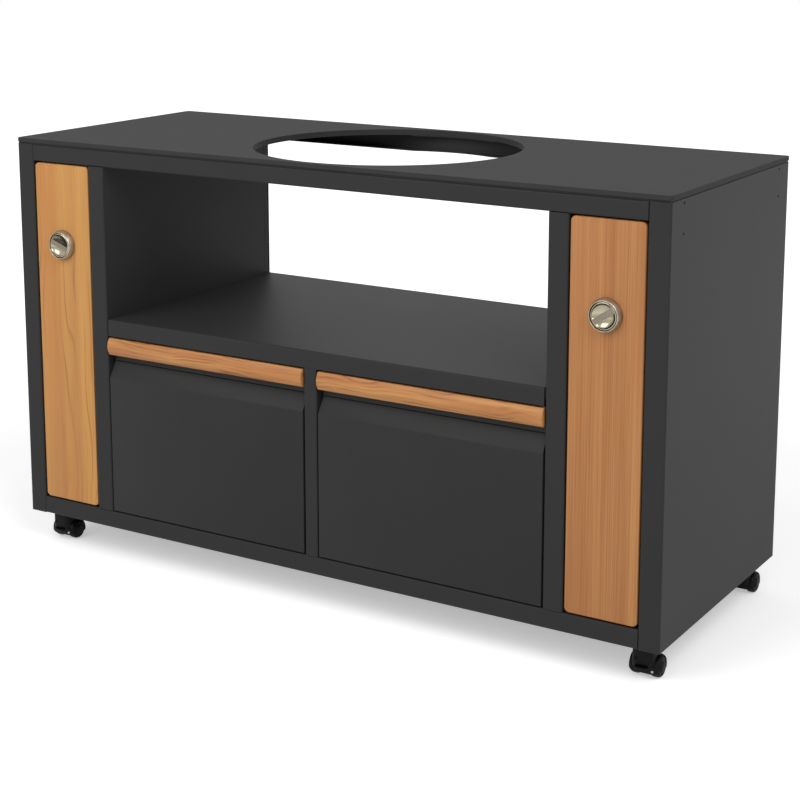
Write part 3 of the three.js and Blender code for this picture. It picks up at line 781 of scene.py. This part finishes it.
# Turn latches
latch = {
    "air": 0.3 * mm,
    "foot": 2.2 * mm,
    "baseRadius": 30 * mm,
    "bore": 25.4 * mm,
    # radius and height up the flank, which swells gently and rolls over into the lip
    "flank": [
        (29.95, 3.1),
        (29.8, 5.0),
        (29.45, 6.9),
        (28.95, 8.6),
        (28.3, 10.1),
        (27.75, 11.5),
        (27.3, 12.5),
        (26.9, 13.2),
        (26.5, 13.7),
        (26.1, 13.95),
        (25.75, 14.0),
        (25.4, 13.7),
    ],
    "lipWidth": 1.7 * mm,
    "height": 14 * mm,
    "floor": 2 * mm,
    "spigot": 9 * mm,
    "spigotFrom": -0.6 * mm,
    "spigotTo": 19 * mm,
    "discRadius": 24 * mm,
    "discRound": 1.9 * mm,
    "edgeRound": 0.3 * mm,
    "sink": 1.2 * mm,
    "barWidth": 10.5 * mm,
    "scoop": (21 * mm, 9.5 * mm, 17 * mm),
    "scoopOffset": 5 * mm,
    "scoopRise": 2 * mm,
    "gripTurn": {"left": -20, "right": 35},
    "spindle": 4 * mm,
    "spindlePast": 0.5 * mm,
}


def paintFaces(piece, material, test):
    piece.data.materials.append(material)
    place = len(piece.data.materials) - 1
    for face in piece.data.polygons:
        if test(face.center, face.normal):
            face.material_index = place


def latchSpot(side):
    # the middle of the latch, on the door's front
    low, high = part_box(f"{side}_latch_bezel")
    return Vector(((low.x + high.x) / 2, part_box(f"{side}_door")[0].y, (low.z + high.z) / 2))


def makeBezel():
    spot = latchSpot("left")
    thick = latch["foot"] - latch["air"]
    centre = spot - Vector((0, latch["air"] + thick / 2, 0))
    piece = startRod("left_bezel", centre, latch["baseRadius"], thick, "y", 72)
    steps = [(radius * mm, height * mm) for radius, height in latch["flank"]]
    steps.append((latch["bore"], latch["floor"]))
    growCap(piece, (0, -1, 0), latch["baseRadius"], latch["foot"], steps)
    start, end = latch["spigotFrom"], latch["spigotTo"]
    middle = spot + Vector((0, (start + end) / 2, 0))
    spigot = startRod("spigot", middle, latch["spigot"], end - start, "y", 48)
    combine(piece, spigot, "UNION")
    bore = startRod("bore", spot, latch["spindle"] + latch["air"], 60 * mm, "y", 32)
    combine(piece, bore, "DIFFERENCE")
    smooth(piece, 50)
    return piece


def makeHandle():
    # a disc whose bar, level here, is left standing between two scoops
    spot = latchSpot("left")
    face = latch["height"] - latch["sink"]
    foot = latch["floor"] + latch["air"]
    centre = spot - Vector((0, (foot + face) / 2, 0))
    piece = startRod("left_handle", centre, latch["discRadius"], face - foot, "y", 72)
    softenEdges(piece, latch["discRound"], 5, 60)
    bowlPlace = spot - Vector((0, face + latch["scoopRise"], 0))
    for share in (-1, 1):
        bowl = startBall("bowl", bowlPlace + Vector((0, 0, share * latch["scoopOffset"])), latch["scoop"], 64)
        edge = bowlPlace + Vector((0, 0, share * latch["barWidth"] / 2))
        cutAway(bowl, edge, (0, 0, -share))
        combine(piece, bowl, "DIFFERENCE")
    start = spot.y - foot - latch["spindlePast"]
    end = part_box("left_latch_handle")[1].y + latch["spindlePast"]
    middle = (spot.x, (start + end) / 2, spot.z)
    spindle = startRod("spindle", middle, latch["spindle"], end - start, "y", 32)
    combine(piece, spindle, "UNION")
    softenEdges(piece, latch["edgeRound"], 2, 35)
    smooth(piece, 30)
    return piece


def paintFlank(piece, side):
    # the flank is satin up to the polished lip
    spot, lip = latchSpot(side), latch["bore"] + latch["lipWidth"]

    def outsideLip(centre, normal):
        return math.hypot(centre.x - spot.x, centre.z - spot.z) > lip

    paintFaces(piece, steels["satin"], outsideLip)


def paintHandle(piece, side):
    spot = latchSpot(side)
    flat = spot.y - latch["height"] + latch["sink"] + near
    paintFaces(piece, steels["brushed"], lambda centre, normal: centre.y < flat and normal.y < -0.99)
    # painted shade: the walls beside the bar get the dark steel, which draws a shadow line along the bar,
    # also in the scoops' reflections
    turn = math.radians(latch["gripTurn"][side])
    half = latch["barWidth"] / 2

    def paintedShadeBesideBar(centre, normal):
        off = centre - spot
        across = abs(off.z * math.cos(turn) - off.x * math.sin(turn))
        return abs(normal.y) < 0.3 and abs(across - half) < 0.2 * mm and off.y < 0

    # the dark steel on these walls is painted shade, not a finish of the handle
    paintFaces(piece, steels["blackZinc"], paintedShadeBesideBar)


for side, piece in copyTo(makeBezel(), leftAndRight("latch_bezel")).items():
    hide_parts(f"{side}_latch_bezel")
    finishPiece(piece, f"{side}_door", finishes["stainless"])
    paintFlank(piece, side)

for side, piece in copyTo(makeHandle(), {side: latchSpot(side) for side in sides}).items():
    # a positive grip turn lifts the bar's right end
    turnMesh(piece, "Y", -latch["gripTurn"][side], latchSpot(side))
    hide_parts(f"{side}_latch_handle")
    # the handle's steel is painted darker and more olive for the shade and reflection in its scoops
    finishPiece(piece, f"{side}_latch", steels["scoop"])
    paintHandle(piece, side)
print("latches ready")


# Casters
corners = ("front_left", "front_right", "back_left", "back_right")
trail = 13 * mm


def casterCentre(corner):
    # the swivel's middle, on the cabinet's underside
    low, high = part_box(f"{corner}_caster_plate")
    return Vector(((low.x + high.x) / 2, (low.y + high.y) / 2, high.z + 0.3 * mm))


wheel = {
    "radius": 19 * mm,
    "inside": 13 * mm,
    "tread": 1.8 * mm,
    "treadEnd": 21.5 * mm,
    "insideRound": (0.5 * mm, 1.2 * mm),
    # radius and reach of the outer side: round shoulder, sunk web, raised hub
    "shoulder": [
        (18.8, 23.3),
        (18.2, 25.0),
        (17.2, 26.4),
        (15.8, 27.5),
        (14.2, 28.0),
        (13.6, 26.8),
        (10.5, 27.2),
        (9.6, 29.2),
        (7.6, 30.0),
    ],
}


def makeWheel(name, centre):
    # a wheel whose axle runs along X, its hub to +X
    radius = wheel["radius"]
    inner = wheel["inside"] + wheel["tread"]
    thick = wheel["treadEnd"] - inner
    piece = startRod(name, centre + Vector((inner + thick / 2, 0, 0)), radius, thick, "x", 64)
    steps = [(ring * mm, reach * mm) for ring, reach in wheel["shoulder"]]
    growCap(piece, (1, 0, 0), radius, wheel["treadEnd"], steps)
    rim, rise = wheel["insideRound"]
    growCap(piece, (-1, 0, 0), radius, 0, [(radius - rim, rise), (radius - wheel["tread"], wheel["tread"])])
    smooth(piece, 45)
    return piece


hoodShape = {
    "radius": 22.3 * mm,
    "well": 19.9 * mm,
    "wellDepth": 50 * mm,
    "spine": 12.5 * mm,
    "halfWidth": 30.5 * mm,
    "endRound": 10 * mm,
    "lean": -22,
    "apronEdge": -9.5 * mm,
    "apronCorner": 15 * mm,
    "neckHalf": 14 * mm,
    "neckWide": 20.5 * mm,
    "neckFrom": 2 * mm,
    "neckDrop": 9.8 * mm,
    "neckCorner": 9 * mm,
    "neckRound": 3 * mm,
    "hub": 9 * mm,
    "kingpin": 4.8 * mm,
    "kingpinLength": 30 * mm,
    "kingpinSink": 8 * mm,
    "edgeRound": 0.5 * mm,
}


def startBonnet(name, axle):
    # a rod with round ends, which the rear cover and the front apron are both cut from
    piece = startRod(name, axle, hoodShape["radius"], 2 * hoodShape["halfWidth"], "x", 96)
    softenEdges(piece, hoodShape["endRound"], 6, 60)
    return piece


def makeHood(name, centre, axle):
    radius, reach = hoodShape["radius"], hoodShape["halfWidth"]
    piece = startBonnet(name, axle)
    lean = math.radians(hoodShape["lean"])
    cutAway(piece, axle, (0, math.sin(lean), -math.cos(lean)))
    # front apron with rounded lower corners, short enough to leave the wheels' treads in sight;
    # the screen is flush with the rod's ends, so its sides are worked out from the same middle
    apron = startBonnet("apron", axle)
    screen = startBlock(
        "screen",
        (axle.x - reach, axle.y - 2 * radius, axle.z + hoodShape["apronEdge"]),
        (axle.x + reach, axle.y, axle.z + 2 * radius),
    )
    pickEdges(screen, lambda middle, along: abs(along.y) > 0.9 and middle.z < axle.z)
    bevelPicked(hoodShape["apronCorner"], 8)
    combine(apron, screen, "INTERSECT")
    combine(piece, apron, "UNION")
    top = centre.z - hoodShape["neckDrop"]
    wide, half = hoodShape["neckWide"], hoodShape["neckHalf"]
    neck = startBlock(
        "neck",
        (centre.x - wide, centre.y - half, axle.z + hoodShape["neckFrom"]),
        (centre.x + wide, centre.y + half, top),
    )
    pickEdges(neck, lambda middle, along: abs(along.z) > 0.9)
    bevelPicked(hoodShape["neckCorner"], 6)
    pickEdges(neck, lambda middle, along: middle.z > top - near and abs(along.z) < 0.1)
    bevelPicked(hoodShape["neckRound"], 3)
    combine(piece, neck, "UNION")
    depth = hoodShape["wellDepth"]
    for share in (-1, 1):
        wellCentre = axle + Vector((share * (hoodShape["spine"] + depth / 2), 0, 0))
        well = startRod("well", wellCentre, hoodShape["well"], depth, "x", 80)
        combine(piece, well, "DIFFERENCE")
    hub = startRod("hub", axle, hoodShape["hub"], 2 * hoodShape["spine"], "x", 48)
    combine(piece, hub, "UNION")
    kingpin = startRod(
        "kingpin",
        (centre.x, centre.y, top - hoodShape["kingpinSink"]),
        hoodShape["kingpin"],
        hoodShape["kingpinLength"],
        "z",
        32,
    )
    combine(piece, kingpin, "DIFFERENCE")
    tidyMesh(piece)
    softenEdges(piece, hoodShape["edgeRound"], 2, 50)
    return piece


pedal = {
    "hubRadius": 3.6 * mm,
    "reach": 19 * mm,
    "thick": 4 * mm,
    "tipRound": 3 * mm,
    "rim": 1.4 * mm,
    "dish": 0.5 * mm,
    "edgeRound": 0.4 * mm,
    "tilt": 14,
    "travel": 12,
    "air": 0.5 * mm,
    "pocketPast": 5 * mm,
}


def makeTab(name, hub, width, reach, thick):
    low = hub - Vector((width / 2, reach, thick / 2))
    return startBlock(name, low, hub + Vector((width / 2, 0, thick / 2)))


def makePedal(name, hub, width):
    piece = makeTab(name, hub, width, pedal["reach"], pedal["thick"])
    pickEdges(piece, lambda middle, along: abs(along.z) > 0.9 and middle.y < hub.y - pedal["reach"] / 2)
    bevelPicked(pedal["tipRound"], 4)
    pickFaces(piece, lambda centre, normal: normal.z > 0.9)
    bpy.ops.mesh.inset(thickness=pedal["rim"])
    bpy.ops.transform.translate(value=(0, 0, -pedal["dish"]))
    bpy.ops.object.mode_set(mode="OBJECT")
    turnMesh(piece, "X", pedal["tilt"], hub)
    barrel = startRod("barrel", hub, pedal["hubRadius"], width, "x", 32)
    combine(piece, barrel, "UNION")
    softenEdges(piece, pedal["edgeRound"], 2, 40)
    smooth(piece, 35)
    return piece


def makePedalPocket(hub, width):
    # the room the pedal needs at rest and pressed down
    air = pedal["air"]
    reach, thick = pedal["reach"] + pedal["pocketPast"], pedal["thick"] + 2 * air
    pocket = startRod("pocket", hub, pedal["hubRadius"] + air, width + 2 * air, "x", 32)
    for tilt in (pedal["tilt"], pedal["tilt"] + pedal["travel"]):
        sweep = makeTab("sweep", hub, width + 2 * air, reach, thick)
        turnMesh(sweep, "X", tilt, hub)
        combine(pocket, sweep, "UNION")
    return pocket


# places across and up from the axle, or from the swivel for the eyelet
rivetShape = {
    "across": 17.5 * mm,
    "rise": -3 * mm,
    "radius": 2.6 * mm,
    "length": 2.4 * mm,
    "sink": 0.6 * mm,
    "round": 0.9 * mm,
}
lugShape = {
    "across": 17.5 * mm,
    "rise": 5 * mm,
    "size": (12 * mm, 5 * mm, 3 * mm),
    "sink": 1.2 * mm,
    "round": 0.8 * mm,
}
eyeletShape = {
    "across": -12 * mm,
    "level": 37 * mm,
    "radius": 3 * mm,
    "thick": 2 * mm,
    "ring": 1.8 * mm,
    "hole": 1.6 * mm,
    "depth": 1 * mm,
}


def makeRivet(name, axle):
    offset = Vector((rivetShape["across"], rivetShape["sink"] - hoodShape["radius"], rivetShape["rise"]))
    piece = startRod(name, axle + offset, rivetShape["radius"], rivetShape["length"], "y", 32)
    softenEdges(piece, rivetShape["round"], 3, 60)
    smooth(piece, 40)
    return piece


def makeLug(name, axle):
    # flat lug on the apron, above the rivet
    middle = axle + Vector((lugShape["across"], lugShape["sink"] - hoodShape["radius"], lugShape["rise"]))
    half = Vector(lugShape["size"]) / 2
    piece = startBlock(name, middle - half, middle + half)
    softenEdges(piece, lugShape["round"], 3, 60)
    smooth(piece, 40)
    return piece


def makeEyelet(name, centre):
    # eyelet with a sunk middle on the front of the neck
    radius = eyeletShape["radius"]
    place = (centre.x + eyeletShape["across"], centre.y - hoodShape["neckHalf"], eyeletShape["level"])
    piece = startRod(name, place, radius, eyeletShape["thick"], "y", 32)
    steps = [(eyeletShape["ring"], 0), (eyeletShape["hole"], -eyeletShape["depth"])]
    growCap(piece, (0, -1, 0), radius, 0, steps)
    smooth(piece, 40)
    return piece


def fitCopies(copies, body, slot):
    for corner, piece in copies.items():
        finishPiece(piece, f"{corner}_{body}", finishes[slot])


def makeCasters():
    # each piece is modelled at the first corner and copied to the others that have it
    first = corners[0]
    centres = {corner: casterCentre(corner) for corner in corners}
    fronts = {corner: centres[corner] for corner in corners[:2]}
    backs = {corner: centres[corner] for corner in (first, *corners[2:])}
    centre = centres[first]
    axle = Vector((centre.x, centre.y + trail, wheel["radius"]))

    right = makeWheel(f"{first}_right_wheel_piece", axle)
    left = duplicate(right, f"{first}_left_wheel_piece")
    turnMesh(left, "Z", 180, axle)
    for hand, piece in (("right", right), ("left", left)):
        wheels = copyTo(piece, centres)
        for corner, copy in wheels.items():
            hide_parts(f"{corner}_caster_{hand}_wheel")
        fitCopies(wheels, f"{hand}_wheel", "tread")

    # the back hoods are copied before the front one gets the pocket for its pedal
    low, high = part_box(f"{first}_caster_pedal")
    hub = Vector(((low.x + high.x) / 2, high.y - pedal["hubRadius"], high.z - pedal["hubRadius"]))
    hood = makeHood(f"{first}_hood", centre, axle)
    hoods = copyTo(hood, backs)
    combine(hood, makePedalPocket(hub, high.x - low.x), "DIFFERENCE")
    hoods.update(copyTo(hood, fronts))
    for corner, copy in hoods.items():
        smooth(copy, 35)
        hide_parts(f"{corner}_caster_hood")
    fitCopies(hoods, "caster", "black_plastic")

    pedals = copyTo(makePedal(f"{first}_treadle", hub, high.x - low.x), fronts)
    for corner, copy in pedals.items():
        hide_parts(f"{corner}_caster_pedal")
    fitCopies(pedals, "brake", "black_plastic")
    fitCopies(copyTo(makeRivet(f"{first}_rivet", axle), fronts), "caster", "zinc")
    fitCopies(copyTo(makeLug(f"{first}_lug", axle), fronts), "caster", "black_plastic")
    fitCopies(copyTo(makeEyelet(f"{first}_eyelet", centre), fronts), "caster", "black_plastic")


makeCasters()
print("casters ready")


# Sealing strip in the groove between the top plate and the rails
seal = {"setBack": 1.6 * mm, "width": 2.6 * mm, "air": 0.1 * mm, "plate": 8.5 * mm, "past": 1 * mm}


def makeSeal():
    panelLow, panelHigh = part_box("left_side_panel")
    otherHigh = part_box("right_side_panel")[1]
    corner = Vector((panelLow.x, panelLow.y, panelHigh.z))
    low = corner + Vector((seal["setBack"], seal["setBack"], seal["air"]))
    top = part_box("tabletop")[1].z - seal["plate"] - seal["air"]
    high = Vector((otherHigh.x - seal["setBack"], otherHigh.y - seal["setBack"], top))
    piece = startBlock("groove_seal", low, high)
    inset = Vector((seal["width"], seal["width"], -seal["past"]))
    hollow = startBlock("hollow", low + inset, high - inset)
    combine(piece, hollow, "DIFFERENCE")
    return finishPiece(piece, "frame", finishes["powder_steel"])


makeSeal()


# Foam strips inside the back panel's edges, so that no light comes through the joints
panelStrip = {"width": 8 * mm, "thick": 5 * mm, "air": 0.1 * mm, "round": 0.4 * mm}


def makePanelStrips(side):
    panelLow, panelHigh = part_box("back_panel")
    postLow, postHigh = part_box(f"{side}_rear_post")
    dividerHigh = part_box("centre_divider")[1]
    share = sides[side]
    width, air = panelStrip["width"], panelStrip["air"]
    back = panelLow.y - air
    front = back - panelStrip["thick"]
    postOuter = max(abs(postLow.x), abs(postHigh.x)) + air
    edges = sorted((share * (panelHigh.x + air), share * postOuter))
    cupboard = startBlock(
        f"{side}_cupboard_strip", (edges[0], front, panelLow.z - air), (edges[1], back, panelHigh.z + air)
    )
    # three-sided: the hollow runs out past the rear post's side
    room = sorted((share * (panelHigh.x - width), share * (postOuter - width)))
    hollow = startBlock(
        "hollow", (room[0], front - width, panelLow.z + width), (room[1], back + width, panelHigh.z - width)
    )
    combine(cupboard, hollow, "DIFFERENCE")
    postInner = min(abs(postLow.x), abs(postHigh.x)) - air
    ends = sorted((share * (dividerHigh.x + air), share * postInner))
    drawers = startBlock(
        f"{side}_drawer_strip", (ends[0], front, panelLow.z - air), (ends[1], back, panelLow.z + width)
    )
    for strip in (cupboard, drawers):
        softenEdges(strip, panelStrip["round"], 1, 60)
        finishPiece(strip, "frame", finishes["black_plastic"])


for side in sides:
    makePanelStrips(side)
print("seal and strips ready")


# Small fasteners
boltHead = {"faceShare": 0.86, "rise": 0.5 * mm}


def putBolts(look, spots):
    # hexagon heads that narrow to their lower face, all copies of the first
    name, spot = next(iter(spots.items()))
    radius = look["radius"]
    bolt = startRod(name, spot, radius, look["height"], "z", 6)
    growCap(bolt, (0, 0, -1), radius, 0, [(radius * boltHead["faceShare"], boltHead["rise"])])
    for piece in copyTo(bolt, spots).values():
        finishPiece(piece, "frame", finishes["zinc"])


plateBolt = {"radius": 5 * mm, "height": 4.2 * mm, "spacing": 40 * mm, "drop": 5.5 * mm}
plateSpots = {}
for corner in corners:
    for count, (a, b) in enumerate(((-1, -1), (1, -1), (1, 1), (-1, 1))):
        half = plateBolt["spacing"] / 2
        spot = casterCentre(corner) + Vector((a * half, b * half, -plateBolt["drop"]))
        plateSpots[f"{corner}_plate_bolt_{count + 1}"] = spot
putBolts(plateBolt, plateSpots)

railBolt = {"across": (585 * mm, 632 * mm), "inset": 16 * mm, "radius": 4.5 * mm, "height": 3 * mm}
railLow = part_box("front_bottom_rail")[0]
railSpots = {}
for side, share in sides.items():
    for count, x in enumerate(railBolt["across"]):
        spot = Vector((share * x, railLow.y + railBolt["inset"], railLow.z - railBolt["height"] / 2))
        railSpots[f"{side}_rail_bolt_{count + 1}"] = spot
putBolts(railBolt, railSpots)

backScrew = {
    "radius": 4.5 * mm,
    "height": 1.2 * mm,
    "round": 0.5 * mm,
    "levels": (150 * mm, 400 * mm, 640 * mm),
    "columns": (503 * mm, 640 * mm),
}


def makeBackScrew(name, spot):
    # low round head with a flat middle
    radius = backScrew["radius"]
    piece = startRod(name, spot, radius, backScrew["height"], "y", 24)
    growCap(piece, (0, 1, 0), radius, 0, [(radius / 2, 0)])
    softenEdges(piece, backScrew["round"], 3, 60)
    smooth(piece, 40)
    return piece


screwSpots = {}
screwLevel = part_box("back_panel")[1].y + backScrew["height"] / 2
for side, share in sides.items():
    for column, x in enumerate(backScrew["columns"]):
        for row, z in enumerate(backScrew["levels"]):
            screwSpots[f"{side}_back_screw_{column + 1}_{row + 1}"] = Vector((share * x, screwLevel, z))
firstScrew = makeBackScrew(*next(iter(screwSpots.items())))
for piece in copyTo(firstScrew, screwSpots).values():
    finishPiece(piece, "frame", finishes["powder_steel"])
print("fasteners ready")


# Floor, light and world
stageLook = {
    "floorColour": "#f2f2f2",
    "floorSize": 30,
    "floorLevel": -0.5 * mm,
    "floorGlow": 0.42,
    "farGlow": 0.8,
    "glowRange": (1.2, 3.0),
    "worldLight": 0.44,
    "keyPower": 72,
    "keyPlace": (2.9, -1.9, 3.6),
    "keySize": 2.2,
    "fillPower": 74,
    "fillPlace": (-1.05, -3.25, 2.85),
    "fillSize": 2.5,
    "aim": (0, 0, 0.5),
}


def makeFloor(look):
    deselectAll()
    bpy.ops.mesh.primitive_plane_add(size=look["floorSize"], location=(0, 0, look["floorLevel"]))
    floor = bpy.context.object
    floor.name = "studio_floor"
    settle(floor)
    material = bpy.data.materials.new("studioFloor")
    material.use_nodes = True
    tree = material.node_tree
    tree.nodes.clear()
    # pale floor that keeps its shadow; a little glow for eye and gloss rays takes the rest to white
    rays = addNode(tree, "ShaderNodeLightPath", {}, {})
    seen = addNode(
        tree,
        "ShaderNodeMath",
        {"operation": "MAXIMUM"},
        {0: rays.outputs["Is Camera Ray"], 1: rays.outputs["Is Glossy Ray"]},
    )
    place = addNode(tree, "ShaderNodeTexCoord", {}, {})
    radius = addNode(tree, "ShaderNodeVectorMath", {"operation": "LENGTH"}, {0: place.outputs["Object"]})
    spread = addNode(
        tree,
        "ShaderNodeMapRange",
        {
            "From Min": look["glowRange"][0],
            "From Max": look["glowRange"][1],
            "To Min": look["floorGlow"],
            "To Max": look["farGlow"],
        },
        {"Value": radius.outputs["Value"]},
    )
    glow = addNode(
        tree, "ShaderNodeMath", {"operation": "MULTIPLY"}, {0: seen.outputs[0], 1: spread.outputs["Result"]}
    )
    lit = addNode(tree, "ShaderNodeEmission", {"Color": (1, 1, 1, 1)}, {"Strength": glow.outputs[0]})
    matt = addNode(tree, "ShaderNodeBsdfDiffuse", {"Color": linear(look["floorColour"])}, {})
    both = addNode(tree, "ShaderNodeAddShader", {}, {0: matt.outputs[0], 1: lit.outputs[0]})
    addNode(tree, "ShaderNodeOutputMaterial", {}, {"Surface": both.outputs[0]})
    floor.data.materials.append(material)


def makeWorld(look):
    world = bpy.data.worlds.new("studioWorld")
    bpy.context.scene.world = world
    world.use_nodes = True
    tree = world.node_tree
    tree.nodes.clear()
    rays = addNode(tree, "ShaderNodeLightPath", {}, {})
    eye = addNode(
        tree,
        "ShaderNodeMath",
        {"operation": "MAXIMUM"},
        {0: rays.outputs["Is Camera Ray"], 1: rays.outputs["Is Glossy Ray"]},
    )
    seen = addNode(
        tree,
        "ShaderNodeMath",
        {"operation": "MAXIMUM"},
        {0: eye.outputs[0], 1: rays.outputs["Is Transmission Ray"]},
    )
    strength = addNode(
        tree,
        "ShaderNodeMapRange",
        {"To Min": look["worldLight"], "To Max": 1.0},
        {"Value": seen.outputs[0]},
    )
    sky = addNode(
        tree,
        "ShaderNodeBackground",
        {"Color": (1, 1, 1, 1)},
        {"Strength": strength.outputs["Result"]},
    )
    addNode(tree, "ShaderNodeOutputWorld", {}, {"Surface": sky.outputs[0]})


def addSoftbox(look, kind):
    place = Vector(look[f"{kind}Place"])
    bpy.ops.object.light_add(type="AREA", location=place)
    lamp = bpy.context.object
    lamp.name = f"{kind}_light"
    lamp.data.energy = look[f"{kind}Power"]
    lamp.data.size = look[f"{kind}Size"]
    lamp.rotation_euler = (place - Vector(look["aim"])).to_track_quat("Z", "Y").to_euler()


makeFloor(stageLook)
makeWorld(stageLook)
for kind in ("key", "fill"):
    addSoftbox(stageLook, kind)
setCamera(camera)
bpy.context.scene.view_settings.view_transform = "Standard"
print("stage ready")
